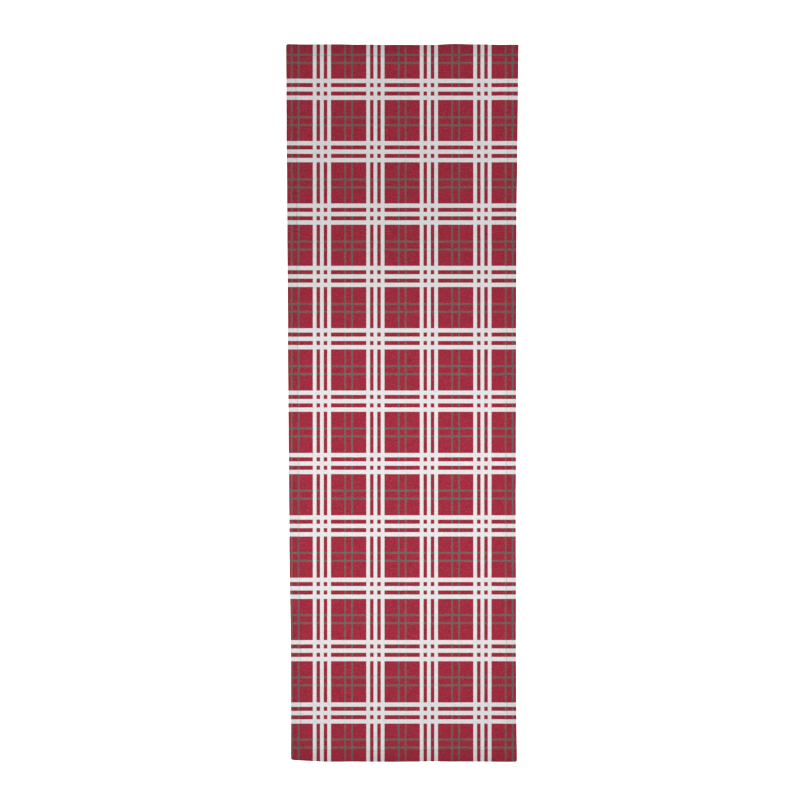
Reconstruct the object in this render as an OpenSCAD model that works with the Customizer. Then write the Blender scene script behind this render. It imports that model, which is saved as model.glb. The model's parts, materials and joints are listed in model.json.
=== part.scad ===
// Table runner: one length of printed canvas with a turned and sewn hem on all four sides.
//
// It lies face up on z = 0, with its length along Y and its width along X, and the
// origin is under its middle. The head end is +Y and the foot end is -Y.
// The cloth is one piece that bends anywhere. Here it is divided at two fold lines, so
// that each end can hang over a table's edge or lie folded on the middle.
// At each hem the face ply climbs over two turned-under plies, so a hem is three plies.

/* [Cloth] */
// Finished width, from hem edge to hem edge
cloth_w = 406; // [260:1:520]
// Finished length, from hem edge to hem edge
cloth_l = 1270; // [1000:10:2400]
// Thickness of one ply of the cloth
ply_t = 0.5; // [0.35:0.05:0.8]

/* [Hems] */
// Finished width of the hem along each side
side_hem_w = 19; // [12:1:32]
// Finished width of the hem across each end
end_hem_w = 22; // [12:1:40]
// Distance over which the face ply climbs onto a hem
hem_ramp = 4; // [2:0.5:8]
// Distance that the raw edge stays short of the outer fold
raw_gap = 1; // [0.5:0.5:6]
// Gap between the end of a side hem and the end hem that crosses it
hem_gap = 0.2; // [0.1:0.1:1]

/* [Sewing threads] */
// Width of a thread
thread_w = 0.4; // [0.2:0.05:0.5]
// Height of a thread
thread_h = 0.3; // [0.2:0.05:0.4]
// Depth that tension draws the needle thread into the face
thread_sink = 0.15; // [0.05:0.05:0.2]
// Clearance on each side of a thread in its groove
thread_clear = 0.05; // [0.02:0.01:0.1]
// Distance from a hem's inner fold to its row of stitches
row_in = 2; // [1.5:0.5:5]
// Distance from the cloth's edge to where a row stops
row_stop = 1.5; // [1.2:0.1:5]
// Gap on each side of an end row where a side row crosses it
cross_gap = 0.6; // [0.2:0.1:2]

/* [Care label] */
// Width of the label, along the hem that holds it
label_w = 30; // [15:1:50]
// Length of the label that shows beyond the hem's ramp
label_l = 22; // [12:1:40]
// Thickness of the label, folded double
label_t = 0.25; // [0.15:0.05:0.3]
// Length of the label that the hem holds
label_root = 6; // [4:0.5:10]
// Distance from the foot edge to the middle of the label
label_y = 90; // [60:5:200]
// Clearance round the label's outline
label_clear = 0.2; // [0.1:0.1:1]

/* [Folds] */
// Length of each end, from its fold line to the cloth's edge
drop_l = 305; // [240:5:330]
// Air between each hem's face and the plane that two folded layers meet at
face_clear = 2; // [1:0.5:4]
// Clearance between a hanging end and the middle
fold_clear = 0.5; // [0.3:0.1:1.5]

/* [Hidden] */
// A hem is the face ply, the bottom ply and the raw-edge margin between them
hem_lift = 2 * ply_t;
hem_t = 3 * ply_t;
edge_r = hem_t / 2;
// The fold's axis, and half the strip of cloth that bends there
fold_y = cloth_l / 2 - drop_l;
fold_rise = hem_t + face_clear;
fold_half = fold_rise + fold_clear;
// Lines that the rows of stitches follow
side_row_x = cloth_w / 2 - side_hem_w + row_in;
end_row_y = cloth_l / 2 - end_hem_w + row_in;
// Inner fold of each end hem
end_fold_y = cloth_l / 2 - end_hem_w;
// How far a cutting shape runs past what it cuts
over = 1;
round_fn = 32;
cloth_red = "#9b2c3e";
hem_red = "#8c2637";
thread_red = "#a3394a";
tape_white = "#ececea";

// ---- Placing helpers ----

// A shape drawn in X and Z, carried along Y from y0 to y1
module along_y(y0, y1) {
    translate([0, y1, 0]) rotate([90, 0, 0]) linear_extrude(y1 - y0) children();
}

// A shape drawn in Y and Z, carried along X from x0 to x1
module along_x(x0, x1) {
    translate([x0, 0, 0]) rotate([90, 0, 90]) linear_extrude(x1 - x0) children();
}

// The head end's shapes, turned to the foot end
module at_foot() {
    mirror([0, 1, 0]) children();
}

// The right side's shapes, turned to the left side
module at_left() {
    mirror([1, 0, 0]) children();
}

// ---- The cloth's form ----

// Height of the cloth's lower face from one hem's inner fold to the other's
function between_hems(half, hem_w) = [
    [-half + hem_w, hem_lift],
    [-half + hem_w + hem_ramp, 0],
    [half - hem_w - hem_ramp, 0],
    [half - hem_w, hem_lift]
];

// The same, carried on over both hems and past their edges
function lower_face(half, hem_w) = concat(
    [[-half - over, hem_lift]],
    between_hems(half, hem_w),
    [[half + over, hem_lift]]
);

// All that lies under a line, raised by lift, down to a flat bottom
module under(line, lift, bottom) {
    polygon(concat(
        [[line[0][0], bottom]],
        [for (p = line) [p[0], p[1] + lift]],
        [[line[len(line) - 1][0], bottom]]
    ));
}

// Both spans of the cloth, filled up to lift above the lower face
module filled_under(lift, bottom) {
    along_y(-cloth_l / 2 - over, cloth_l / 2 + over)
        under(lower_face(cloth_w / 2, side_hem_w), lift, bottom);
    along_x(-cloth_w / 2 - over, cloth_w / 2 + over)
        under(lower_face(cloth_l / 2, end_hem_w), lift, bottom);
}

// A slab as thick as a hem, with a half-round edge at both of its ends
module rounded_section(half) {
    translate([-half + edge_r, 0]) square([2 * (half - edge_r), hem_t]);
    for (side = [-1, 1])
        translate([side * (half - edge_r), edge_r]) circle(r = edge_r, $fn = round_fn);
}

// The runner's whole outline, with the outer folds rounded
module outer_form() {
    intersection() {
        along_y(-cloth_l / 2 - over, cloth_l / 2 + over) rounded_section(cloth_w / 2);
        along_x(-cloth_w / 2 - over, cloth_w / 2 + over) rounded_section(cloth_l / 2);
    }
}

// Everything between two places along the length
module stretch(y0, y1) {
    translate([-cloth_w / 2 - over, y0, -over])
        cube([cloth_w + 2 * over, y1 - y0, hem_t + 2 * over]);
}

// The face ply between two places, before its grooves
module face_ply(y0, y1) {
    intersection() {
        outer_form();
        stretch(y0, y1);
        difference() {
            filled_under(ply_t, -over);
            filled_under(0, -2 * over);
        }
    }
}

// The two turned-under plies of a hem whose outer fold is at half
module hem_section(half, hem_w) {
    inner = half - hem_w + ply_t;
    outer = half - edge_r;
    translate([inner, 0]) square([outer - inner, ply_t]);
    translate([inner, 0]) square([outer - raw_gap - inner, hem_lift]);
    translate([inner, ply_t]) circle(r = ply_t, $fn = round_fn);
    intersection() {
        translate([outer, edge_r]) difference() {
            circle(r = edge_r, $fn = round_fn);
            circle(r = edge_r - ply_t, $fn = round_fn);
        }
        translate([outer, 0]) square([edge_r + over, hem_lift]);
    }
}

// ---- Grooves that the threads and the label lie in ----

module needle_grooves() {
    w = thread_w + 2 * thread_clear;
    for (side = [-1, 1]) {
        translate([side * side_row_x - w / 2, -groove_end_y(), hem_t - thread_sink])
            cube([w, 2 * groove_end_y(), over]);
        translate([-groove_end_x(), side * end_row_y - w / 2, hem_t - thread_sink])
            cube([2 * groove_end_x(), w, over]);
    }
}

function groove_end_x() = cloth_w / 2 - row_stop + thread_clear;
function groove_end_y() = cloth_l / 2 - row_stop + thread_clear;

module side_bobbin_groove() {
    w = thread_w + 2 * thread_clear;
    translate([side_row_x - w / 2, -cloth_l / 2, -over])
        cube([w, cloth_l, over + thread_h]);
}

module end_bobbin_groove() {
    w = thread_w + 2 * thread_clear;
    translate([-groove_end_x(), end_row_y - w / 2, -over])
        cube([2 * groove_end_x(), w, over + thread_h]);
}

// The label's layer, which follows the lower face of the cloth at the left side
module label_layer(clear) {
    x0 = -cloth_w / 2 + side_hem_w - label_root - clear;
    x1 = -cloth_w / 2 + side_hem_w + hem_ramp + label_l + clear;
    y0 = -cloth_l / 2 + label_y - label_w / 2 - clear;
    y1 = -cloth_l / 2 + label_y + label_w / 2 + clear;
    line = lower_face(cloth_w / 2, side_hem_w);
    intersection() {
        translate([x0, y0, -over]) cube([x1 - x0, y1 - y0, hem_t + 2 * over]);
        difference() {
            along_y(y0 - over, y1 + over) under(line, label_t, -over);
            along_y(y0 - 2 * over, y1 + 2 * over) under(line, 0, -2 * over);
        }
    }
}

// ---- Sub-parts, drawn at the head and the right, and turned to the other end and side ----

module panel(y0, y1) {
    difference() {
        face_ply(y0, y1);
        needle_grooves();
    }
}

module side_hem(y0, y1) {
    difference() {
        along_y(y0, y1) hem_section(cloth_w / 2, side_hem_w);
        side_bobbin_groove();
    }
}

module end_hem() {
    difference() {
        intersection() {
            along_x(-cloth_w / 2 - over, cloth_w / 2 + over)
                hem_section(cloth_l / 2, end_hem_w);
            outer_form();
        }
        end_bobbin_groove();
    }
}

// The strip that bends, with the face ply and both side hems pressed into one
module fold_strip() {
    y0 = fold_y - fold_half;
    y1 = fold_y + fold_half;
    intersection() {
        outer_form();
        stretch(y0, y1);
        difference() {
            filled_under(ply_t, -over);
            along_y(y0 - over, y1 + over)
                under(between_hems(cloth_w / 2, side_hem_w), 0, -2 * over);
        }
    }
}

module side_needle_thread(y0, y1) {
    translate([side_row_x - thread_w / 2, y0, hem_t - thread_sink])
        cube([thread_w, y1 - y0, thread_h]);
}

module side_bobbin_thread(y0, y1) {
    translate([side_row_x - thread_w / 2, y0, 0]) cube([thread_w, y1 - y0, thread_h]);
}

// A side row on an end stops on each side of the end row
module end_side_needle_thread() {
    clear_y = thread_w / 2 + cross_gap;
    side_needle_thread(fold_y + fold_half, end_row_y - clear_y);
    side_needle_thread(end_row_y + clear_y, cloth_l / 2 - row_stop);
}

module end_side_bobbin_thread() {
    side_bobbin_thread(fold_y + fold_half, end_fold_y - hem_gap);
}

module end_row_thread(z) {
    translate([-cloth_w / 2 + row_stop, end_row_y - thread_w / 2, z])
        cube([cloth_w - 2 * row_stop, thread_w, thread_h]);
}

module end_needle_thread() {
    end_row_thread(hem_t - thread_sink);
}

module end_bobbin_thread() {
    end_row_thread(0);
}

middle_y = fold_y - fold_half;
end_y = fold_y + fold_half;

module middle_panel() {
    color(cloth_red) panel(-middle_y, middle_y);
}

module middle_right_hem() {
    color(hem_red) side_hem(-middle_y, middle_y);
}

module middle_right_needle_thread() {
    color(thread_red) side_needle_thread(-middle_y, middle_y);
}

module middle_right_bobbin_thread() {
    color(thread_red) side_bobbin_thread(-middle_y, middle_y);
}

module head_fold() {
    color(cloth_red) fold_strip();
}

module head_panel() {
    color(cloth_red) panel(end_y, cloth_l / 2 + over);
}

module foot_panel() {
    color(cloth_red) difference() {
        at_foot() panel(end_y, cloth_l / 2 + over);
        label_layer(label_clear);
    }
}

module head_right_hem() {
    color(hem_red) side_hem(end_y, end_fold_y - hem_gap);
}

module head_end_hem() {
    color(hem_red) end_hem();
}

module head_right_needle_thread() {
    color(thread_red) end_side_needle_thread();
}

module head_right_bobbin_thread() {
    color(thread_red) end_side_bobbin_thread();
}

module head_end_needle_thread() {
    color(thread_red) end_needle_thread();
}

module head_end_bobbin_thread() {
    color(thread_red) end_bobbin_thread();
}

module care_label() {
    color(tape_white) label_layer(0);
}

// ---- Drawing ----

middle_panel();
at_left() middle_right_hem();  // middle_left_hem
middle_right_hem();
at_left() middle_right_needle_thread();  // middle_left_needle_thread
middle_right_needle_thread();
at_left() middle_right_bobbin_thread();  // middle_left_bobbin_thread
middle_right_bobbin_thread();

head_fold();
head_panel();
at_left() head_right_hem();  // head_left_hem
head_right_hem();
head_end_hem();
at_left() head_right_needle_thread();  // head_left_needle_thread
head_right_needle_thread();
head_end_needle_thread();
at_left() head_right_bobbin_thread();  // head_left_bobbin_thread
head_right_bobbin_thread();
head_end_bobbin_thread();

at_foot() head_fold();  // foot_fold
foot_panel();
at_foot() at_left() head_right_hem();  // foot_left_hem
at_foot() head_right_hem();  // foot_right_hem
at_foot() head_end_hem();  // foot_end_hem
at_foot() at_left() head_right_needle_thread();  // foot_left_needle_thread
at_foot() head_right_needle_thread();  // foot_right_needle_thread
at_foot() head_end_needle_thread();  // foot_end_needle_thread
at_foot() at_left() head_right_bobbin_thread();  // foot_left_bobbin_thread
at_foot() head_right_bobbin_thread();  // foot_right_bobbin_thread
at_foot() head_end_bobbin_thread();  // foot_end_bobbin_thread
care_label();
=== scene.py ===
"""A printed plaid table runner lying face up: hemmed cloth, rows of lockstitch and a care label."""

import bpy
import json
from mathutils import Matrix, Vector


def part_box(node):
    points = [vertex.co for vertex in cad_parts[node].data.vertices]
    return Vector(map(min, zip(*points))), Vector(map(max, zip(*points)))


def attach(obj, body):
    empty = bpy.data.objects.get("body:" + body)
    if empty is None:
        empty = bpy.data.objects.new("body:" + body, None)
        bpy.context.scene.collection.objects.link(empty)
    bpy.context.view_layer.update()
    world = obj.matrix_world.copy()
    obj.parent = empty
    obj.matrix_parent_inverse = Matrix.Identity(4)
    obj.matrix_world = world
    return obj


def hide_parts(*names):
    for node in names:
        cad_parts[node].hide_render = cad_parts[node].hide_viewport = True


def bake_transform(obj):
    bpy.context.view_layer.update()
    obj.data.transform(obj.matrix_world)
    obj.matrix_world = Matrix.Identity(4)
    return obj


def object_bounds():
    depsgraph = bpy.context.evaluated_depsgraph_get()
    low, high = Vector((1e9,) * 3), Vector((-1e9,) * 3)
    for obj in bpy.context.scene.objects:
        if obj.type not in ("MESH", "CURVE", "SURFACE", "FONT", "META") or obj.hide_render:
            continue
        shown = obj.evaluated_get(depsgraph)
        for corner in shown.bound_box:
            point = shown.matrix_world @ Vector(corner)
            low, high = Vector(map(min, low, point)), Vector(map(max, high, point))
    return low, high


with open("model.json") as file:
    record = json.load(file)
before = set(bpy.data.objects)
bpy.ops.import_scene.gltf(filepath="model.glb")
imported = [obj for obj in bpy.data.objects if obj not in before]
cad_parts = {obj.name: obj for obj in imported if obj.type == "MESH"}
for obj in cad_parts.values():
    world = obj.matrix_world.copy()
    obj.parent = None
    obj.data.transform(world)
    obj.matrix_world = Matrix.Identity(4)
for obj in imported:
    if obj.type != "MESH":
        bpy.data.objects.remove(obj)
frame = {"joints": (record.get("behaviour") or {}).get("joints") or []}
cad_box = [list(corner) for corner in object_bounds()]

import json
import math

import bpy
import numpy as np
from mathutils import Vector

MM = 0.001


# ---- Sizes, read from the frame ----

def extent(node, axis):
    low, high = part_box(node)
    return high[axis] - low[axis]


def middle(node, axis):
    low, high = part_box(node)
    return (high[axis] + low[axis]) / 2


X, Y, Z = range(3)
HALF_W, HALF_L = cad_box[1][X], cad_box[1][Y]
SIDE_HEM = extent("middle_right_hem", X)
END_HEM = extent("head_end_hem", Y)
# Distance from one ply of a hem to the next, and how much of it the cloth fills
PLY = extent("middle_right_hem", Z) / 2
FILL = 0.9
# How far each row of stitches is from the edge
SIDE_ROW = HALF_W - middle("middle_right_needle_thread", X)
END_ROW = HALF_L - middle("head_end_needle_thread", Y)
FOLD = next(j for j in frame["joints"] if j["name"] == "head_drop")["pos_m"]
# Half the length that bends at a fold: a half turn about the fold's axis
BEND_HALF = math.pi / 2 * FOLD[Z]

# ---- Sizes that only the visible cloth has ----

# Distance that the raw edge stays short of the outer fold
RAW_GAP = 1.0 * MM
# Distance over which the cloth settles from a hem to the table
SETTLE = 20 * MM
# How much higher a hem's inner fold lies than its outer one
HEM_TILT = 0.35 * MM
# Plies in a corner, where a side hem is turned in with the end, and how hard they are pressed
CORNER_PLIES = 3
CORNER_PRESS = 0.66
# Distance over which the corner's plies fade out, and how much sooner the cloth settles there
CORNER_SETTLE, CORNER_SOONER = 6 * MM, 8 * MM
# Depth that a row of stitches pulls the cloth in, and half its width
SEAM_DEPTH = 0.10 * MM
SEAM_HALF = 0.7 * MM
# Height of the puckers beside a row, and how far they reach from it
PUCKER, PUCKER_REACH = 0.06 * MM, 7 * MM
# How far the side edges and the rows of stitches wander
EDGE_WANDER, ROW_WANDER = 0.2 * MM, 0.12 * MM
# Size of a grid square in the open cloth, and the angle from which an edge is drawn sharp
GRID = 3.5 * MM
SHARP = math.radians(70)

# Painted shade: how much darker the cloth is drawn over a hem, at the edge, and along a row of
# stitches
HEM_SHADE, EDGE_SHADE, SEAM_SHADE = 0.04, 0.13, 0.04
# How far the edge's shade reaches in from an end and from a side, and how strong it is at a
# side; how far the hem's shade reaches past the hem, and the length over which it fades
END_SHADE_REACH, SIDE_SHADE_REACH, SIDE_SHADE = 15 * MM, 4 * MM, 0.4
HEM_SHADE_PAST, HEM_SHADE_FADE = 2 * MM, 3 * MM

STITCH_PITCH, STITCH_LENGTH = 2.7 * MM, 2.4 * MM
THREAD_R = 0.13 * MM
# How far the end rows stop short of the side edges
END_ROW_INSET = 1.4 * MM

# The care label, and how far the cloth is lifted by it
LABEL_LOW, LABEL_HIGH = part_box("care_label")
LABEL_W, LABEL_Y = extent("care_label", Y), middle("care_label", Y)
LABEL_T = 0.09 * MM
# Length of the label's visible layers, from a little inside the hem to the free end
LABEL_REACH = extent("care_label", X) - 3 * MM
LABEL_LIFT, LABEL_SETTLE = 0.4 * MM, 9 * MM
# The radius of its fold, and how far it is out of square, as a slope
LABEL_FOLD, LABEL_SKEW = 0.6 * LABEL_T, 0.02

# The printed plaid: its repeat across and along, and where a group of white lines is centred
REPEAT_X, REPEAT_Y = 94.7 * MM, 110.4 * MM
GROUP_X, GROUP_Y = REPEAT_X / 2, 2.55 * MM
# Shares of a repeat: half a white line, the step between white lines, half a green line,
# and how far each green line is from the middle of a red square
WHITE_HALF, WHITE_STEP = 0.0343, 0.135
GREEN_HALF = 0.0160
GREEN_OFF_X, GREEN_OFF_Y = 0.0647, 0.064
# Along the runner, the green pairs repeat a little sooner than the white threes, so they creep
# across the red squares. A green pair's middle is at GREEN_X and at GREEN_Y.
GREEN_REPEAT_X, GREEN_REPEAT_Y = REPEAT_X, 110.17 * MM
GREEN_X, GREEN_Y = 0.0, -52.7 * MM

# Pitch of the canvas's yarns across and along, and the length over which each yarn's tone
# changes
WARP, WEFT = 0.62 * MM, 0.58 * MM
WARP_SLOW, WEFT_SLOW = 14 * MM, 18 * MM


# ---- Smooth shapes ----

def smooth(t):
    """0 up to t = 0, 1 from t = 1, and a smooth step between them."""
    t = np.clip(t, 0, 1)
    return t * t * (3 - 2 * t)


def bell(d, half):
    """1 where d is 0, falling away smoothly to 1/e at the distance half."""
    return np.exp(-(d / half) ** 2)


def ripple(t, seed, longest, shortest, count=6):
    """A smooth random curve of t, about 1 high, with waves between the two lengths."""
    rng = np.random.default_rng(seed)
    total = np.zeros_like(np.asarray(t, float))
    for length in np.geomspace(longest, shortest, count):
        total = total + math.sqrt(length / longest) * np.sin(
            2 * math.pi * (t / length + rng.random())
        )
    return total / math.sqrt(count / 2)


# ---- The runner's outline, which is a little out of true ----

# Half the nominal width, without the rounding error of the frame's 32-bit numbers
NOMINAL_HALF_W = round(HALF_W, 6)
# How far in each side edge is at mid-length, and how far out the left edge splays to the head
LEFT_IN, RIGHT_IN, LEFT_SPLAY = 1.4 * MM, 1.0 * MM, 4.0 * MM
# The left edge is drawn in near the foot, most of all at this share of the half length
DRAWN_IN, DRAWN_AT, DRAWN_HALF = 1.6 * MM, -0.72, 0.27
# The right edge flares out to the head from this share of the half length, and bows in on the
# way to the foot, out again beyond the second share
FLARE, FLARE_FROM, FLARE_POWER = 4.3 * MM, 0.2, 1.6
BOW, BOW_TO = 4.4 * MM, 0.72
# How far in the head's edge is, how far out the foot's edge is, and how far each wanders
HEAD_IN, HEAD_WANDER = 0.9 * MM, 0.6 * MM
FOOT_OUT, FOOT_WANDER = 0.9 * MM, 0.25 * MM
# The foot's edge is pulled up at its left: how far, from which distance left, over what length
FOOT_PULL, PULL_FROM, PULL_OVER = 2.9 * MM, 0.135, 0.065


def left_edge(y):
    """Distance from the middle to the left edge, which draws in towards the foot."""
    t = y / HALF_L
    drawn_in = DRAWN_IN * bell(t - DRAWN_AT, DRAWN_HALF)
    wander = EDGE_WANDER * ripple(y, 3, 0.4, 0.06)
    return NOMINAL_HALF_W - LEFT_IN + LEFT_SPLAY * t - drawn_in + wander


def right_edge(y):
    """Distance from the middle to the right edge, which flares at the head."""
    t = y / HALF_L
    head = FLARE * np.clip((t - FLARE_FROM) / (1 - FLARE_FROM), 0, None) ** FLARE_POWER
    foot = BOW * np.clip(-t, 0, None) * (-t - BOW_TO)
    wander = EDGE_WANDER * ripple(y, 4, 0.4, 0.06)
    return NOMINAL_HALF_W - RIGHT_IN + head + foot + wander


def end_edge(x, end):
    """Distance from the middle to the head's edge (end 1) or the foot's (end -1)."""
    if end > 0:
        return HALF_L - HEAD_IN + HEAD_WANDER * ripple(x, 5, 0.3, 0.05)
    risen = FOOT_PULL * smooth((-x - PULL_FROM) / PULL_OVER)
    return HALF_L + FOOT_OUT - risen + FOOT_WANDER * ripple(x, 6, 0.3, 0.05)


# How far each corner is rounded in plan: (side, end) to its radius
CORNER_ROUND = {(-1, 1): 4 * MM, (1, 1): 1.5 * MM, (-1, -1): 7 * MM, (1, -1): 2 * MM}


def rounded(x, y, end):
    """Moves points near a corner in, so that the corner is an arc."""
    for side, edge in ((-1, left_edge), (1, right_edge)):
        r = CORNER_ROUND[side, end]
        cx, cy = edge(end * HALF_L) - r, HALF_L - r
        a, b = (side * x - cx) / r, (y - cy) / r
        inside = (a > 0) & (b > 0)
        a1 = a * np.sqrt(np.clip(1 - b * b / 2, 0, 1))
        b1 = b * np.sqrt(np.clip(1 - a * a / 2, 0, 1))
        x = np.where(inside, side * (cx + r * a1), x)
        y = np.where(inside, cy + r * b1, y)
    return x, y


# ---- The cloth's height above the table ----

# Low swells left in the cloth: centre x, y, half-width across, half-length along, height
SWELLS = [
    (-0.10, 0.46, 0.16, 0.12, 0.9 * MM),
    (0.09, 0.27, 0.13, 0.16, 0.7 * MM),
    (-0.08, 0.05, 0.12, 0.18, 0.8 * MM),
    (0.10, -0.16, 0.11, 0.15, 0.9 * MM),
    (-0.07, -0.30, 0.13, 0.12, 0.6 * MM),
    (0.05, -0.50, 0.15, 0.10, 0.8 * MM),
]
# A faint crease along the cloth: x, its ends in y, half-width, length that each end fades
# over, height
CREASE = (-0.137, 0.04, 0.40, 5 * MM, 0.08, 0.22 * MM)
FINE_WAVE = 0.10 * MM


def undulation(x, y):
    """Lift off the table, from the way the cloth was folded and smoothed out by hand."""
    lift = sum(h * bell(x - cx, rx) * bell(y - cy, ry) for cx, cy, rx, ry, h in SWELLS)
    cx, y0, y1, half, fade, height = CREASE
    along = smooth((y - y0) / fade) * smooth((y1 - y) / fade)
    lift = lift + height * bell(x - cx, half) * along
    # Fine waves, raised so that they stay above the table
    fine = ripple(x + 0.35 * y, 11, 0.19, 0.05) * ripple(y - 0.25 * x, 12, 0.31, 0.07)
    lift = lift + FINE_WAVE * np.clip(fine + 2.6, 0, None)
    over_label = smooth((LABEL_HIGH[X] + LABEL_SETTLE - x) / LABEL_SETTLE) * smooth(
        (LABEL_W / 2 + LABEL_SETTLE - np.abs(y - LABEL_Y)) / LABEL_SETTLE
    )
    return lift + LABEL_LIFT * over_label


def cornerness(from_side, from_end):
    """1 where a side hem is turned in with the end hem, 0 away from it."""
    return smooth((SIDE_HEM + CORNER_SETTLE - from_side) / (CORNER_SETTLE - 0.5 * MM)) * smooth(
        (END_HEM + 2 * CORNER_SETTLE - from_end) / (2 * CORNER_SETTLE)
    )


def ply_step(from_side, from_end):
    """Distance from one ply to the next, which is less in a corner, where they are pressed."""
    return PLY * (1 - (1 - CORNER_PRESS) * cornerness(from_side, from_end))


def plies(from_side):
    """Plies in each layer of an end hem: 1, or 3 where the side hem is inside."""
    return 1 + (CORNER_PLIES - 1) * smooth(
        (SIDE_HEM + CORNER_SETTLE - from_side) / (CORNER_SETTLE - 0.5 * MM)
    )


def face_lift(x, y, end):
    """Height of the face ply's middle above its place on the bare table."""
    edge_x = np.where(x < 0, left_edge(end * y), right_edge(end * y))
    from_side = np.abs(edge_x - np.abs(x))
    from_end = np.abs(end_edge(x, end) - y)
    step = ply_step(from_side, from_end)
    side = smooth((SIDE_HEM + SETTLE - from_side) / SETTLE)
    side_lift = side * (2 * step + HEM_TILT * np.clip(from_side / SIDE_HEM, 0, 1))
    k = plies(from_side)
    # Beside the thick corner the cloth settles sooner
    reach = SETTLE - CORNER_SOONER * (k - 1) / (CORNER_PLIES - 1)
    over = smooth((END_HEM + reach - from_end) / reach)
    end_lift = over * ((3 * k - 1) * step + HEM_TILT * np.clip(from_end / END_HEM, 0, 1))
    lift = np.maximum(side_lift, end_lift)
    # Rows of stitches draw the face in, and pucker it a little
    rows = np.maximum(bell(from_side - SIDE_ROW, SEAM_HALF), bell(from_end - END_ROW, SEAM_HALF))
    pucker_side = bell(from_side - SIDE_ROW, PUCKER_REACH) * ripple(end * y, 21, 0.03, 0.009)
    pucker_end = bell(from_end - END_ROW, PUCKER_REACH) * ripple(x, 24 + end, 0.03, 0.009)
    return (
        lift
        - SEAM_DEPTH * rows
        + PUCKER * (pucker_side + pucker_end)
        + undulation(x, end * y)
    )


# ---- The cloth, turned under twice at each edge ----

# The parts of a turned edge, along the cloth: the face, the outer fold, the hem's underside, the
# inner fold, and the margin that ends in the raw edge. OPEN is the cloth inside the hems.
OPEN, FACE, OUTER, BOTTOM, INNER, MARGIN = range(-1, 5)


def fold_places(edge, k, step, hem):
    """Where each part after the face starts, along the cloth, and where the last one ends. Also
    the radii of the outer and inner folds, and where their centres are. k is the number of
    plies in each layer of the hem, step is the distance between plies."""
    r_out, r_in = (3 * k - 1) * step / 2, (2 * k - 1) * step / 2
    centre = edge - FILL * step / 2 - r_out
    inner = edge - hem + FILL * step / 2 + r_in
    starts = [centre, centre + math.pi * r_out]
    starts.append(starts[-1] + centre - inner)
    starts.append(starts[-1] + math.pi * r_in)
    starts.append(starts[-1] + centre - RAW_GAP - inner)
    return starts, r_out, r_in, centre, inner


def along_cloth(part, place, edge, k, step, hem):
    """Distance along the cloth of a station: on the face, its place is its distance from the
    edge, and on each part after it, a share of the part's length."""
    starts = fold_places(edge, k, step, hem)[0]
    # 0 * step gives the result its full shape
    q = edge - place + 0 * step
    for number in range(OUTER, MARGIN + 1):
        low, high = starts[number - 1], starts[number]
        q = np.where(part == number, low + place * (high - low), q)
    return q


def turned(q, edge, k, step, hem):
    """Place across, level below the face, and direction of the printed side, at distance q
    along the cloth."""
    starts, r_out, r_in, centre, inner = fold_places(edge, k, step, hem)
    a_out, a_in = (q - starts[0]) / r_out, (q - starts[2]) / r_in
    at = [q >= s for s in starts[:4]]
    place = np.select(
        at[::-1],
        [inner + q - starts[3], inner - r_in * np.sin(a_in), centre - q + starts[1],
         centre + r_out * np.sin(a_out)],
        q,
    )
    level = np.select(
        at[::-1],
        [2 * (r_in - r_out), r_in - 2 * r_out - r_in * np.cos(a_in), -2 * r_out,
         r_out * (np.cos(a_out) - 1)],
        0 * q,
    )
    across = np.select(at[::-1], [0 * q, -np.sin(a_in), 0 * q, np.sin(a_out)], 0 * q)
    upward = np.select(
        at[::-1], [1 + 0 * q, -np.cos(a_in), -1 + 0 * q, np.cos(a_out)], 1 + 0 * q
    )
    return place, level, across, upward


def nominal(q, half, hem):
    """Roughly where distance q along the cloth ends up."""
    return turned(q, half, 1.0, PLY, hem)[0]


def cloth_point(side, q_u, q_v, end, lift=0.0):
    """The middle of the cloth at distances q_u and q_v along it, from its middle to the side
    (-1 or 1) and to the end (-1 or 1), raised by lift towards its printed side."""
    y0 = nominal(q_v, HALF_L, END_HEM)
    edge_u = np.where(side < 0, left_edge(end * y0), right_edge(end * y0))
    x0 = nominal(q_u, edge_u, SIDE_HEM)
    edge_v = end_edge(side * x0, end)
    from_side = np.abs(edge_u - np.abs(x0))
    step = ply_step(from_side, np.abs(edge_v - y0))
    x, n_side, _, up_side = turned(q_u, edge_u, 1.0, step, SIDE_HEM)
    y, n_end, across, upward = turned(q_v, edge_v, plies(from_side), step, END_HEM)
    stack = n_side + lift * up_side
    y, level = y + stack * across, n_end + stack * upward
    x = side * x
    z = face_lift(x, y, end) + level + PLY / 2
    x, y = rounded(x, y, end)
    return np.stack([x, end * y, z], -1)


def stations(hem, row):
    """Where the mesh has its lines from the hem's inner side out to the edge and round its
    folds, as the part of the turned edge that each is on and its place there."""
    insets = np.concatenate([
        np.linspace(hem + SETTLE, hem + 5 * MM, 6),
        hem + np.array([3.0, 1.6, 0.6, -0.4, -1.1]) * MM,
        row + np.array([0.55, 0.25, 0, -0.25, -0.55, -1.2]) * MM,
        np.linspace(row - 2.6 * MM, 2.2 * MM, 5),
    ])
    bottom = np.concatenate([np.linspace(0, 0.84, 6), [0.88, 0.90, 0.92, 0.94, 0.97, 1.0]])
    folds = [(OUTER, 8), (INNER, 6)]
    places = {
        FACE: insets,
        BOTTOM: bottom,
        MARGIN: np.linspace(0, 1, 4),
        **{fold: np.arange(1, count) / count for fold, count in folds},
    }
    order = range(FACE, MARGIN + 1)
    parts = np.concatenate([np.full(len(places[part]), part) for part in order])
    return parts, np.concatenate([places[part] for part in order])


def length_stations():
    """Distances along y of the open cloth's lines, close together where a fold bends."""
    stop = HALF_L - END_HEM - SETTLE
    fold = np.linspace(FOLD[Y] - BEND_HALF, FOLD[Y] + BEND_HALF, 15)
    before = np.linspace(0.5 * MM, fold[0], round(fold[0] / GRID))[:-1]
    after = np.linspace(fold[-1], stop, round((stop - fold[-1]) / GRID))[1:-1]
    return np.concatenate([[0], before, fold, after])


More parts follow.
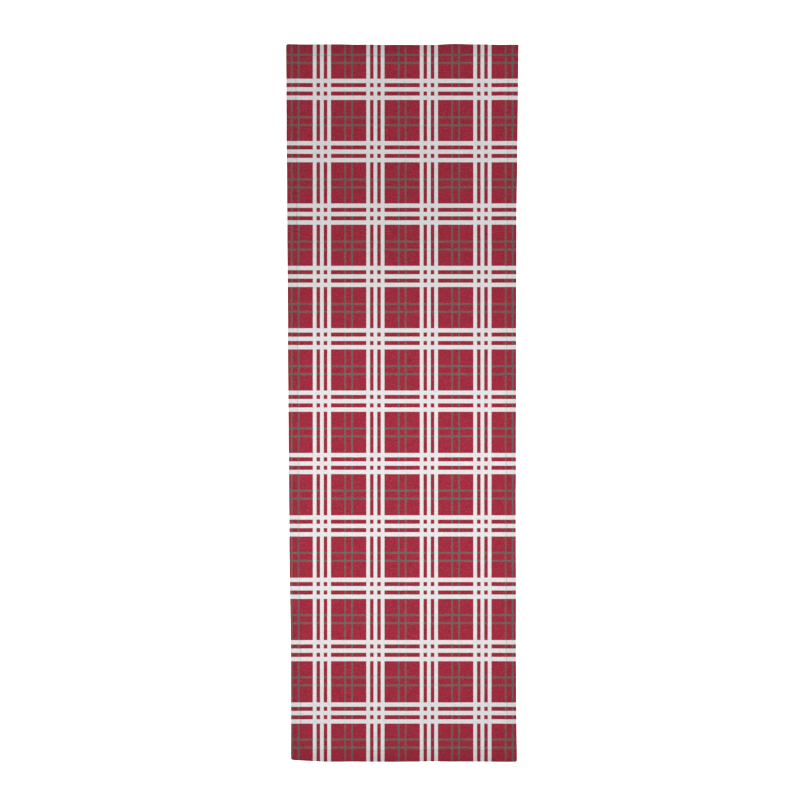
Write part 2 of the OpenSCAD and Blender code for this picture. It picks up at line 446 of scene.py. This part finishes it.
def grid_faces(first, rows, columns, flip):
    """Quads of a grid of points that are numbered row by row from first."""
    i, j = np.meshgrid(np.arange(rows - 1), np.arange(columns - 1), indexing="ij")
    a = first + i * columns + j
    quads = np.stack([a, a + columns, a + columns + 1, a + 1], -1).reshape(-1, 4)
    return quads[:, ::-1] if flip else quads


def link(name, points, faces, materials):
    """A smooth-shaded mesh object in the scene."""
    mesh = bpy.data.meshes.new(name)
    mesh.from_pydata(points.reshape(-1, 3).tolist(), [], faces.tolist())
    for material in materials:
        mesh.materials.append(material)
    mesh.shade_smooth()
    obj = bpy.data.objects.new(name, mesh)
    bpy.context.scene.collection.objects.link(obj)
    return obj


def set_uv(mesh, name, values):
    """Gives each corner of the mesh's faces a UV pair."""
    layer = mesh.uv_layers.new(name=name)
    layer.data.foreach_set("uv", np.asarray(values, float).ravel())
    return layer


def loop_points(mesh):
    """The point that each corner of the mesh's faces is on."""
    corner = np.empty(len(mesh.loops), int)
    mesh.loops.foreach_get("vertex_index", corner)
    return corner


def thick_sheet(name, centre, normal, half_thick, materials, flip, uv):
    """A closed sheet about a grid of points: its front, its back, and the edge all round.
    uv is each point's (u, v) on the flat cloth. The front has the first material, and the
    map that a bake uses has the front beside the back, which is half the size."""
    rows, columns = centre.shape[:2]
    count = rows * columns
    offset = normal * half_thick
    points = np.concatenate([centre + offset, centre - offset])
    front = grid_faces(0, rows, columns, flip)
    back = grid_faces(count, rows, columns, not flip)
    number = np.arange(count).reshape(rows, columns)
    rim = np.concatenate([number[:, 0], number[-1, 1:], number[-2::-1, -1], number[0, -2:0:-1]])
    after = np.roll(rim, -1)
    edge = np.stack([rim, rim + count, after + count, after], -1)
    if flip:
        edge = edge[:, ::-1]
    obj = link(name, points, np.concatenate([front, back, edge]), materials)
    mesh = obj.data
    kind = np.where(np.arange(len(mesh.polygons)) < len(front), 0, len(materials) - 1)
    mesh.polygons.foreach_set("material_index", kind.astype(np.int32))
    mesh.set_sharp_from_angle(angle=SHARP)

    own = loop_points(mesh) % count
    on_back = np.arange(len(mesh.loops)) >= 4 * len(front)
    u, v = uv[0].ravel()[own], uv[1].ravel()[own]
    cloth_map = set_uv(mesh, "cloth", np.stack([u, v], -1))
    width, height = np.ptp(u), np.ptp(v)
    # The front, a narrow gap and the back fill 1.55 times the front's width
    whole = max(1.55 * width, height)
    scale = np.where(on_back, 0.5, 1.0) / whole
    bake_u = (u - u.min()) * scale + on_back * 1.04 * width / whole
    set_uv(mesh, "OFBake", np.stack([bake_u, (v - v.min()) * scale], -1))
    mesh.uv_layers.active = cloth_map
    return obj


def normals(centre, towards):
    """Unit normals of a grid of points, on the side that towards (1 or -1) says."""
    across = np.cross(np.gradient(centre, axis=0), np.gradient(centre, axis=1)) * towards
    return across / np.linalg.norm(across, axis=-1, keepdims=True)


def half_cloth(name, end, materials):
    """The cloth from its middle to one end, with its hems turned under."""
    part_side, place_side = stations(SIDE_HEM, SIDE_ROW)
    part_end, place_end = stations(END_HEM, END_ROW)
    inset = SIDE_HEM + SETTLE
    share = np.linspace(0, 1, round(2 * (HALF_W - inset) / GRID))[1:-1]
    lines = length_stations()
    # Down the array: the left side from its raw edge, the open cloth, then the right side.
    # Across it: the open cloth from the middle, then the end.
    side = np.repeat([-1, 0, 1], [len(part_side), len(share), len(part_side)])[:, None]
    part = np.concatenate([part_side[::-1], np.full(len(share), OPEN), part_side])[:, None]
    place = np.concatenate([place_side[::-1], share, place_side])[:, None]
    part_y = np.concatenate([np.full(len(lines), OPEN), part_end])[None, :]
    place_y = np.concatenate([lines, place_end])[None, :]

    flat_y = along_cloth(part_y, place_y, HALF_L, 1.0, PLY, END_HEM)
    y0 = np.where(part_y == OPEN, place_y, nominal(flat_y, HALF_L, END_HEM))
    left, right = left_edge(end * y0), right_edge(end * y0)
    open_x = -left + inset + place * (left + right - 2 * inset)
    edge_u = np.where(side < 0, left, right)
    flat_x = along_cloth(part, place, edge_u, 1.0, PLY, SIDE_HEM)
    x0 = np.where(part == OPEN, open_x, side * nominal(flat_x, edge_u, SIDE_HEM))
    from_side = np.abs(np.where(x0 < 0, left, right) - np.abs(x0))
    edge_v = end_edge(x0, end)
    step = ply_step(from_side, np.abs(edge_v - y0))
    side = np.where(part == OPEN, np.where(open_x < 0, -1, 1), side)
    q_u = along_cloth(part, place, edge_u, 1.0, step, SIDE_HEM)
    q_u = np.where(part == OPEN, np.abs(open_x), q_u)
    q_v = along_cloth(part_y, place_y, edge_v, plies(from_side), step, END_HEM)
    q_v = np.where(part_y == OPEN, place_y + 0 * x0, q_v)

    centre = cloth_point(side, q_u, q_v, end)
    normal = normals(centre, end)
    # Both halves have the same normal at the line where they meet
    normal[:, 0, Y] = 0
    normal /= np.linalg.norm(normal, axis=-1, keepdims=True)
    half_thick = (FILL * step / 2)[..., None]
    obj = thick_sheet(
        name, centre, normal, half_thick, materials, end < 0, (side * q_u, end * q_v)
    )

    # Painted shade: the cloth is drawn darker over a hem, where the plies under it show through
    # and hold back the light that a single layer lets through, at the edge, where it rolls away
    # from the light, and along a row of stitches, in its groove
    from_end = np.abs(edge_v - y0)
    hem = np.maximum(
        smooth((SIDE_HEM + HEM_SHADE_PAST - from_side) / HEM_SHADE_FADE),
        smooth((END_HEM + HEM_SHADE_PAST - from_end) / HEM_SHADE_FADE),
    )
    edge = np.maximum(
        bell(from_end, END_SHADE_REACH), SIDE_SHADE * bell(from_side, SIDE_SHADE_REACH)
    )
    seam = np.maximum(bell(from_side - SIDE_ROW, SEAM_HALF), bell(from_end - END_ROW, SEAM_HALF))
    painted_shade = 1 - HEM_SHADE * hem - EDGE_SHADE * edge - SEAM_SHADE * seam
    attribute = obj.data.attributes.new("painted_shade", "FLOAT", "POINT")
    attribute.data.foreach_set("value", np.concatenate([painted_shade, painted_shade]).ravel())
    cut = (np.ptp(side * q_u), np.ptp(q_v))
    return obj, cut


# ---- Stitches ----

# Points round the thread. Then places along a stitch, its height over the cloth's surface in
# thread radii, and its girth.
RING = 8
STITCH_AT = np.array([-1, -0.93, -0.75, -0.4, 0, 0.4, 0.75, 0.93, 1])
STITCH_HIGH = np.array([-1.4, -0.8, -0.05, 0.32, 0.4, 0.32, -0.05, -0.8, -1.4])
STITCH_GIRTH = np.array([0.45, 0.8, 1, 1, 1, 1, 1, 0.8, 0.45])
# The thread is a little flattened against the cloth: its width and height in diameters
THREAD_WIDE, THREAD_TALL = 1.12, 0.88
# How much each stitch slants, as a slope, and how much that varies
SLANT, SLANT_VARIES = 0.05, 0.02
# How many stitches lie along each side of the square map that a bake uses
BAKED_ACROSS = 8


def stitch_row(name, start, stop, surface, material, seed):
    """A row of stitches along surface(s, lift), which gives the cloth's outside at distance s
    along the row, raised by lift."""
    rng = np.random.default_rng(seed)
    count = int((stop - start) / STITCH_PITCH)
    centres = start + STITCH_PITCH * (np.arange(count) + 0.5)
    half = STITCH_LENGTH / 2 * rng.uniform(0.95, 1.03, (count, 1))
    s = centres[:, None] + half * STITCH_AT
    tiny = 0.05 * MM
    out = surface(s, tiny) - surface(s, -tiny)
    out /= np.linalg.norm(out, axis=-1, keepdims=True)
    along = surface(s + tiny, 0.0) - surface(s - tiny, 0.0)
    along -= out * np.sum(along * out, -1, keepdims=True)
    along /= np.linalg.norm(along, axis=-1, keepdims=True)
    across = np.cross(along, out)
    # Each stitch lies a little slantwise, as one thread crosses the other in the cloth
    slope = SLANT + SLANT_VARIES * rng.standard_normal((count, 1))
    slant = slope * (s - centres[:, None])
    middle_line = surface(s, 0.0) + across * slant[..., None]
    middle_line += out * (THREAD_R * STITCH_HIGH)[None, :, None]
    angle = 2 * math.pi * np.arange(RING) / RING
    girth = (THREAD_R * STITCH_GIRTH)[None, :, None, None]
    around = (
        across[:, :, None] * np.cos(angle)[:, None] * THREAD_WIDE
        + out[:, :, None] * np.sin(angle)[:, None] * THREAD_TALL
    )
    points = middle_line[:, :, None] + girth * around
    stations_each = len(STITCH_AT)
    i, j, k = np.meshgrid(
        np.arange(count), np.arange(stations_each - 1), np.arange(RING), indexing="ij"
    )
    a = (i * stations_each + j) * RING + k
    b = (i * stations_each + j) * RING + (k + 1) % RING
    quads = np.stack([a, a + RING, b + RING, b], -1).reshape(-1, 4)
    # Three quads close the ring of eight points at each end
    ring = np.array([[0, 1, 2, 3], [0, 3, 4, 7], [4, 5, 6, 7]])
    first = (np.arange(count) * stations_each * RING)[:, None, None]
    caps = np.concatenate([
        (first + ring).reshape(-1, 4),
        (first + (stations_each - 1) * RING + ring[:, ::-1]).reshape(-1, 4),
    ])
    obj = link(name, points, np.concatenate([quads, caps]), [material])
    # Turns round the thread and places along the stitch, for each corner of each quad
    turn = np.stack([k, k, k + 1, k + 1], -1).reshape(-1) / RING
    at = np.stack([j, j + 1, j + 1, j], -1).reshape(-1)
    which = np.repeat(i.reshape(-1), 4)
    cap_count = 4 * len(caps)
    length = (s[which, at] - start) / (4 * THREAD_R)
    uv = np.stack([length, turn], -1)
    set_uv(obj.data, "thread", np.concatenate([uv, np.zeros((cap_count, 2))]))
    # A bake has 8 by 8 stitches, which all the others share
    share = (STITCH_AT[at] + 1) / 2
    column, line = which % BAKED_ACROSS, which // BAKED_ACROSS % BAKED_ACROSS
    bake = np.stack([share + column, turn + line], -1) / BAKED_ACROSS
    set_uv(obj.data, "OFBake", np.concatenate([bake, np.full((cap_count, 2), 0.01)]))
    return obj


def side_row(side, end, face):
    """The surface function of a side row: on the face, or under the hem."""

    def surface(s, lift):
        y0 = nominal(s, HALF_L, END_HEM)
        edge = left_edge(end * y0) if side < 0 else right_edge(end * y0)
        wander = ROW_WANDER * ripple(end * y0, 31 + side, 0.11, 0.02)
        across = edge - SIDE_ROW + wander
        step = ply_step(SIDE_ROW, np.abs(HALF_L - y0))
        depth = step * (FILL / 2 if face else -(2 + FILL / 2))
        return cloth_point(side, across, s, end, depth + (lift if face else -lift))

    return surface


def end_row(end, face):
    """The surface function of an end row, with s from left to right."""

    def surface(s, lift):
        wander = ROW_WANDER * ripple(s, 35 + end, 0.11, 0.02)
        along = end_edge(s, end) - END_ROW + wander
        edge = np.where(s < 0, left_edge(end * HALF_L), right_edge(end * HALF_L))
        from_side = edge - np.abs(s)
        step = ply_step(from_side, END_ROW)
        depth = step * (FILL / 2 if face else -(3 * plies(from_side) - 1 + FILL / 2))
        side = np.where(s < 0, -1, 1)
        return cloth_point(side, np.abs(s), along, end, depth + (lift if face else -lift))

    return surface


# ---- The care label: a blank tape, folded double, with both its ends in the side hem ----

def care_label(name, material):
    """The label, and the size of its tape before folding."""
    root, tip = LABEL_LOW[X] + (extent("care_label", X) - LABEL_REACH), LABEL_HIGH[X]
    straight = np.linspace(root, tip - LABEL_T, 22)
    turn = np.linspace(-math.pi / 2, math.pi / 2, 7)[1:-1]
    x = np.concatenate([straight, tip - LABEL_T + LABEL_FOLD * np.cos(turn), straight[::-1]])
    drop = np.concatenate([
        0 * straight, LABEL_FOLD + LABEL_FOLD * np.sin(turn), 2 * LABEL_FOLD + 0 * straight
    ])
    y = LABEL_Y + np.linspace(-LABEL_W / 2, LABEL_W / 2, 17)
    # The tape's two edges are not quite parallel with the hem
    xx, yy = np.meshgrid(x, y, indexing="ij")
    yy = yy + LABEL_SKEW * (xx - root)
    z = cloth_point(-1, -xx, -yy, -1, -FILL * PLY / 2)[..., Z]
    centre = np.stack([xx, yy, z - LABEL_T - drop[:, None]], -1)
    flat_x = np.concatenate([[0], np.cumsum(np.hypot(np.diff(x), np.diff(drop)))])
    uv = (flat_x[:, None] + 0 * yy, yy)
    obj = thick_sheet(name, centre, normals(centre, 1), LABEL_T / 2, [material], False, uv)
    return obj, (flat_x[-1], LABEL_W)


# ---- Materials ----

class Shader:
    """A material, with short ways to add its nodes."""

    def __init__(self, name):
        self.material = bpy.data.materials.new(name)
        self.material.use_nodes = True
        self.tree = self.material.node_tree
        self.tree.nodes.clear()

    def add(self, kind, inputs=None, **settings):
        """Adds a node. Keys of inputs are socket names or numbers; values are sockets or
        constants."""
        node = self.tree.nodes.new(kind)
        for key, value in settings.items():
            setattr(node, key, value)
        for key, value in (inputs or {}).items():
            if isinstance(value, bpy.types.NodeSocket):
                self.tree.links.new(value, node.inputs[key])
            else:
                node.inputs[key].default_value = value
        return node

    def math(self, operation, a, b=0.0):
        return self.add("ShaderNodeMath", {0: a, 1: b}, operation=operation).outputs[0]

    def scaled(self, value, factor, plus=0.0):
        """value times factor, plus plus."""
        return self.math("ADD", self.math("MULTIPLY", value, factor), plus)

    def below(self, value, limit, soft):
        """1 where value is below limit, 0 above it, and soft in between."""
        inputs = {
            "Value": value, "From Min": limit - soft, "From Max": limit + soft,
            "To Min": 1.0, "To Max": 0.0,
        }
        return self.add("ShaderNodeMapRange", inputs, interpolation_type="SMOOTHSTEP").outputs[0]

    def mix(self, factor, a, b):
        """Colour a where factor is 0, b where it is 1."""
        inputs = {0: factor, 6: a, 7: b}
        return self.add("ShaderNodeMix", inputs, data_type="RGBA").outputs[2]

    def noise(self, vector, scale, detail=2.0, roughness=0.5):
        inputs = {"Vector": vector, "Scale": scale, "Detail": detail, "Roughness": roughness}
        return self.add("ShaderNodeTexNoise", inputs).outputs

    def stretched(self, vector, x, y):
        """The vector with its coordinates multiplied by x and y."""
        inputs = {0: vector, 1: (x, y, 1.0)}
        return self.add("ShaderNodeVectorMath", inputs, operation="MULTIPLY").outputs[0]

    def attribute(self, name):
        return self.add("ShaderNodeAttribute", attribute_name=name).outputs["Fac"]

    def centred(self, noise):
        """A noise value, which is mostly between 0.25 and 0.75, as one from -1 to 1."""
        return self.scaled(noise, 4.0, -2.0)

    def finish(self, colour, roughness, height, depth, **surface):
        """Ends the material with a bump of height times depth, and its surface."""
        bump = self.add("ShaderNodeBump", {"Height": height, "Strength": 1.0, "Distance": depth})
        inputs = {"Base Color": colour, "Roughness": roughness, "Normal": bump.outputs[0]}
        inputs.update({key.replace("_", " "): value for key, value in surface.items()})
        surface_node = self.add("ShaderNodeBsdfPrincipled", inputs)
        output = self.add("ShaderNodeOutputMaterial")
        self.tree.links.new(surface_node.outputs[0], output.inputs[0])
        return self.material


# Colours as light reflected, linear
RED = (0.335, 0.0145, 0.038, 1)
GREEN = (0.068, 0.150, 0.126, 1)
WHITE = (0.755, 0.745, 0.755, 1)
GREIGE = (0.640, 0.605, 0.570, 1)
BLACK = (0.0, 0.0, 0.0, 1)
THREAD_RED = (0.300, 0.030, 0.050)
TAPE_WHITE = (0.780, 0.780, 0.770)
# How well the green ink covers the red, and how much darker the red between white lines is
INK_COVER, BETWEEN_DARKER = 0.63, 0.06
# Half the soft edge of a printed line, how far its edge wanders, and how finely
PRINT_SOFT, PRINT_WANDER, WANDER_SIZE = 0.36 * MM, 0.5 * MM, 1.1 * MM
# How much each yarn's tone differs, how much the cloth is mottled, and how finely
YARN_GRAIN, MOTTLE_GRAIN, MOTTLE = 0.40, 0.15, 2.0 * MM
# How much bare fibre shows through the ink, how finely, and the noise at which it starts
BARE_GRAIN, BARE_SIZE, BARE_FROM = 0.34, 2.2 * MM, 0.52
# How much of the print the back shows, at least and more in patches, and the patches' size
SOAKED, SOAKED_MORE, SOAKED_SIZE = 0.20, 0.22, 3.1 * MM
# Depth of the weave's relief, its mean height as a share, and how dark the painted shade in its
# hollows is
WEAVE_DEPTH, WEAVE_MEAN, HOLLOW_SHADE = 0.08 * MM, 0.56, 0.20
CLOTH_SURFACE = {"Sheen_Weight": 0.04, "Sheen_Roughness": 0.5, "Specular_IOR_Level": 0.15}


def plaid(shader, place):
    """The printed plaid's colour: white lines in threes and pairs of green lines on red,
    in both directions. Also where it is white."""
    shift = shader.add(
        "ShaderNodeVectorMath",
        {0: shader.noise(place, 1 / WANDER_SIZE, 1.0)["Color"], 1: (0.5, 0.5, 0.5)},
        operation="SUBTRACT",
    ).outputs[0]
    shifted = shader.add(
        "ShaderNodeVectorMath",
        {0: shader.stretched(shift, PRINT_WANDER, PRINT_WANDER), 1: place},
        operation="ADD",
    ).outputs[0]
    axes = shader.add("ShaderNodeSeparateXYZ", {0: shifted}).outputs

    def apart(axis, middle, repeat):
        """How far a place is from the nearest of the middles, as a share of their repeat."""
        share = shader.scaled(axis, 1 / repeat, 0.5 - middle / repeat)
        return shader.math("ABSOLUTE", shader.math("SUBTRACT", shader.math("FRACT", share), 0.5))

    layers = []
    for axis, group, repeat, green_middle, green_repeat, green_off in (
        (axes[0], GROUP_X, REPEAT_X, GREEN_X, GREEN_REPEAT_X, GREEN_OFF_X),
        (axes[1], GROUP_Y, REPEAT_Y, GREEN_Y, GREEN_REPEAT_Y, GREEN_OFF_Y),
    ):
        off = apart(axis, group, repeat)
        step = shader.math("ABSOLUTE", shader.math("SUBTRACT", off, WHITE_STEP))
        soft = PRINT_SOFT / repeat
        white = shader.below(shader.math("MINIMUM", off, step), WHITE_HALF, soft)
        from_pair = apart(axis, green_middle, green_repeat)
        line = shader.math("ABSOLUTE", shader.math("SUBTRACT", from_pair, green_off))
        green = shader.below(line, GREEN_HALF, soft)
        group_mask = shader.below(off, WHITE_STEP + WHITE_HALF, soft)
        layers.append((white, green, group_mask))
    darker = shader.math("MAXIMUM", layers[0][2], layers[1][2])
    colour = shader.mix(shader.math("MULTIPLY", darker, BETWEEN_DARKER), RED, BLACK)
    for _, green, _ in layers:
        colour = shader.mix(shader.math("MULTIPLY", green, INK_COVER), colour, GREEN)
    white = shader.math("MAXIMUM", layers[0][0], layers[1][0])
    return shader.mix(white, colour, WHITE), white


def canvas(shader, place):
    """A plain weave: its height from 0 to 1, and the tone of whichever yarn is on top, from
    about -1 to 1. Each yarn has its own tone, which changes slowly along it."""
    axes = shader.add("ShaderNodeSeparateXYZ", {0: place}).outputs
    counts, arches = [], []
    for axis, pitch in ((axes[0], WARP), (axes[1], WEFT)):
        share = shader.math("DIVIDE", axis, pitch)
        counts.append(shader.math("FLOOR", share))
        off = shader.scaled(shader.math("FRACT", share), 2.0, -1.0)
        arches.append(shader.math("MULTIPLY", off, off))
    parity = shader.math("FLOORED_MODULO", shader.math("ADD", *counts), 2.0)
    tones, heights = [], []
    for across, along, reach in ((0, 1, WARP_SLOW), (1, 0, WEFT_SLOW)):
        # Each yarn reads its own line of the noise
        own = shader.scaled(counts[across], 0.73, 0.37 + 50 * across)
        slow = shader.math("DIVIDE", axes[along], reach)
        where = shader.add("ShaderNodeCombineXYZ", {0: own, 1: slow}).outputs[0]
        tones.append(shader.noise(where, 1.0, 1.0)[0])
        round_yarn = shader.scaled(arches[across], -0.9, 1.0)
        dips = shader.scaled(arches[along], -0.5, 1.0)
        heights.append(shader.math("MULTIPLY", round_yarn, dips))

    def top(values):
        """The value of whichever yarn is on top, which alternates from square to square."""
        change = shader.math("SUBTRACT", values[1], values[0])
        return shader.math("ADD", values[0], shader.math("MULTIPLY", parity, change))

    return top(heights), shader.centred(top(tones))


def toned(shader, colour, *tones):
    """The colour, multiplied by each of the tones."""
    for tone in tones:
        inputs = {0: colour, "Scale": tone}
        colour = shader.add("ShaderNodeVectorMath", inputs, operation="SCALE").outputs[0]
    return colour


def cloth_surface(shader, place, colour, strength, roughness):
    """The canvas in this colour. strength is how uneven its tone is."""
    weave, yarn = canvas(shader, place)
    mottle = shader.centred(shader.noise(place, 1 / MOTTLE, 2.0)[0])
    uneven = shader.math(
        "ADD", shader.scaled(yarn, YARN_GRAIN), shader.scaled(mottle, MOTTLE_GRAIN)
    )
    tone = shader.math("ADD", shader.math("MULTIPLY", uneven, strength), 1.0)
    # Painted shade darkens the hollows between yarns, and painted light their tops, so the mean
    # tone stays
    hollow_shade = shader.scaled(weave, HOLLOW_SHADE, 1.0 - HOLLOW_SHADE * WEAVE_MEAN)
    # The painted shade of the hems, edges and rows of stitches darkens the colour here
    colour = toned(shader, colour, tone, hollow_shade, shader.attribute("painted_shade"))
    height = shader.math("ADD", weave, shader.scaled(yarn, 0.15))
    roughness = shader.scaled(mottle, 0.03, roughness)
    return shader.finish(colour, roughness, height, WEAVE_DEPTH, **CLOTH_SURFACE)


def printed_cloth():
    """The face of the cloth."""
    shader = Shader("printed_canvas")
    place = shader.add("ShaderNodeUVMap", uv_map="cloth").outputs[0]
    colour, white = plaid(shader, place)
    # Specks of bare fibre show through the ink
    speck = shader.noise(place, 1 / BARE_SIZE, 2.0)[0]
    bare = shader.math("MAXIMUM", shader.scaled(speck, BARE_GRAIN, -BARE_FROM * BARE_GRAIN), 0.0)
    colour = shader.mix(bare, colour, WHITE)
    # The ink is more uneven than the bare cloth
    strength = shader.scaled(white, -0.6, 1.0)
    return cloth_surface(shader, place, colour, strength, roughness=0.86)


def cloth_reverse():
    """The back of the cloth, unprinted."""
    shader = Shader("canvas_reverse")
    place = shader.add("ShaderNodeUVMap", uv_map="cloth").outputs[0]
    # The ink shows through in patches, where it has soaked into the yarns
    patches = shader.noise(place, 1 / SOAKED_SIZE, 3.0)[0]
    soaked = shader.scaled(patches, SOAKED_MORE, SOAKED)
    colour = shader.mix(soaked, GREIGE, plaid(shader, place)[0])
    return cloth_surface(shader, place, colour, strength=0.5, roughness=0.90)


def sewing_thread():
    """Spun thread: its twist, and the fuzz of its fibres."""
    shader = Shader("spun_polyester_thread")
    place = shader.add("ShaderNodeUVMap", uv_map="thread").outputs[0]
    axes = shader.add("ShaderNodeSeparateXYZ", {0: place}).outputs
    # Two plies twist round the thread
    twist = shader.math("ADD", axes[0], axes[1])
    strand = shader.math("SINE", shader.scaled(twist, 4 * math.pi))
    position = shader.add("ShaderNodeNewGeometry").outputs["Position"]
    fuzz = shader.noise(position, 1 / (0.4 * MM), 3.0)[0]
    # Painted shade: the strands' tone is darker in the grooves between the twisted plies; the
    # fuzz's tone is the fibres' own
    tone = shader.math("ADD", shader.scaled(strand, 0.12, 0.75), shader.scaled(fuzz, 0.5))
    colour = toned(shader, THREAD_RED, tone)
    roughness = shader.scaled(fuzz, 0.2, 0.5)
    height = shader.math("ADD", shader.scaled(strand, 0.5), shader.scaled(fuzz, 0.6))
    return shader.finish(colour, roughness, height, depth=0.05 * MM)


def label_tape():
    """Smooth white tape with fine ribs along it."""
    shader = Shader("satin_tape")
    place = shader.add("ShaderNodeUVMap", uv_map="cloth").outputs[0]
    ribs = shader.noise(shader.stretched(place, 1 / (4 * MM), 1 / (0.25 * MM)), 1.0)[0]
    cloudy = shader.noise(place, 1 / (7 * MM), 2.0)[0]
    tone = shader.math("ADD", shader.scaled(ribs, 0.12, 0.88), shader.scaled(cloudy, 0.10))
    colour = toned(shader, TAPE_WHITE, tone)
    roughness = shader.scaled(ribs, 0.2, 0.28)
    return shader.finish(colour, roughness, ribs, depth=0.03 * MM, Anisotropic=0.5)


def plain_floor():
    """White, faintly cloudy, with a little light of its own."""
    shader = Shader("studio_floor")
    position = shader.add("ShaderNodeNewGeometry").outputs["Position"]
    cloudy = shader.noise(position, 1.5, 2.0)[0]
    tone = shader.scaled(cloudy, 0.02, 0.94)
    colour = shader.add("ShaderNodeCombineColor", {0: tone, 1: tone, 2: tone}).outputs[0]
    return shader.finish(
        colour, 0.8, cloudy, depth=0.1 * MM,
        Emission_Color=(1, 1, 1, 1), Emission_Strength=FLOOR_GLOW,
    )


# ---- The pieces ----

materials = {
    "face": printed_cloth(), "reverse": cloth_reverse(),
    "thread": sewing_thread(), "label": label_tape(),
}
ENDS = {"head": 1, "foot": -1}
SIDES = {"left": -1, "right": 1}


def bend_with(obj):
    """Bakes the piece's transform into its points."""
    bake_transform(obj)


for end_name, end in ENDS.items():
    body = f"{end_name}_end"
    cloth, cut = half_cloth(
        f"{end_name}_cloth", end, [materials["face"], materials["reverse"]]
    )
    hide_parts("middle_panel", f"{end_name}_panel", f"{end_name}_fold")
    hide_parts(*(f"middle_{side}_hem" for side in SIDES))
    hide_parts(*(f"{end_name}_{edge}_hem" for edge in (*SIDES, "end")))
    bend_with(cloth)

    for layer, seed in (("needle", 41), ("bobbin", 61)):
        face = layer == "needle"
        # A needle thread goes on round the end hem; a bobbin thread goes on inside it
        fold_starts = fold_places(HALF_L, CORNER_PLIES, PLY * CORNER_PRESS, END_HEM)[0]
        stop = fold_starts[2] - RAW_GAP if face else HALF_L - END_HEM
        for side_name, side in SIDES.items():
            row = stitch_row(
                f"{end_name}_{side_name}_{layer}_stitches", 0, stop,
                side_row(side, end, face), materials["thread"], seed + 3 * end + side,
            )
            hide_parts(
                f"middle_{side_name}_{layer}_thread", f"{end_name}_{side_name}_{layer}_thread"
            )
            bend_with(row)
        row = stitch_row(
            f"{end_name}_end_{layer}_stitches",
            END_ROW_INSET - left_edge(end * HALF_L), right_edge(end * HALF_L) - END_ROW_INSET,
            end_row(end, face), materials["thread"], seed + 3 * end + 2,
        )
        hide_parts(f"{end_name}_end_{layer}_thread")
        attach(row, body)

label, label_cut = care_label("care_tape", materials["label"])
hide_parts("care_label")
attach(label, "foot_end")


# ---- Floor, light and camera ----

# The floor is under where the ends reach when they hang, as under a table that is left out. It
# has a little light in it, as a light table has, so it is white and shows no shadow.
FLOOR_Z = -(HALF_L - FOLD[Y]) - 20 * MM
FLOOR_HALF = 40.0
FLOOR_GLOW = 0.80
# The light that comes evenly from all round
WORLD_LIGHT = 0.55
# The camera looks straight down through a long lens, a little off the runner's middle
CAMERA_X, CAMERA_Y, CAMERA_LENS = -3.8 * MM, 4.6 * MM, 120
# Width of the runner's plane that the camera sees
VIEW_WIDTH = 1416.5 * MM


def floor():
    corners = np.array([[-1, -1], [1, -1], [1, 1], [-1, 1]]) * FLOOR_HALF
    points = np.column_stack([corners, np.full(4, FLOOR_Z)])
    obj = link("studio_floor", points, np.array([[0, 1, 2, 3]]), [plain_floor()])


def lamp(name, place, aim, size, light):
    """A square soft lamp. light is the share of full white that it gives at its aim, on a
    surface that faces it."""
    data = bpy.data.lights.new(name, "AREA")
    data.shape, data.size = "SQUARE", size
    towards = Vector(aim) - Vector(place)
    data.energy = light * math.pi**2 * towards.length_squared
    obj = bpy.data.objects.new(name, data)
    obj.location = place
    obj.rotation_euler = towards.to_track_quat("-Z", "Y").to_euler()
    bpy.context.scene.collection.objects.link(obj)


def pool(name, place, radius, light):
    """A soft-edged pool of light straight below place."""
    data = bpy.data.lights.new(name, "SPOT")
    data.energy = light * 4 * math.pi**2 * place[Z] ** 2
    data.spot_size = 2 * math.atan(radius / place[Z])
    data.spot_blend, data.shadow_soft_size = 1.0, 0.15
    obj = bpy.data.objects.new(name, data)
    obj.location = place
    bpy.context.scene.collection.objects.link(obj)


floor()
lamp("left", (-1.6, -0.35, 0.9), (-0.1, -0.15, 0), 0.8, 0.255)
lamp("right", (1.6, 0.9, 1.5), (0.1, 0.2, 0), 1.0, 0.33)
lamp("front", (1.0, -1.5, 1.2), (0.1, -0.5, 0), 0.8, 0.12)
pool("overhead", (-0.04, -0.19, 3.0), 0.54, 0.25)

scene = bpy.context.scene
world = bpy.data.worlds.new("studio")
world.use_nodes = True
background = world.node_tree.nodes["Background"]
background.inputs["Color"].default_value = (1, 1, 1, 1)
background.inputs["Strength"].default_value = WORLD_LIGHT
scene.world = world
scene.view_settings.view_transform = "Standard"
scene.view_settings.look = "None"

camera_data = bpy.data.cameras.new("camera")
camera_data.lens, camera_data.sensor_width = CAMERA_LENS, 36
camera_data.clip_end = 100
camera = bpy.data.objects.new("camera", camera_data)
camera_z = VIEW_WIDTH * camera_data.lens / camera_data.sensor_width
camera.location = (CAMERA_X, CAMERA_Y, camera_z)
scene.collection.objects.link(camera)
scene.camera = camera
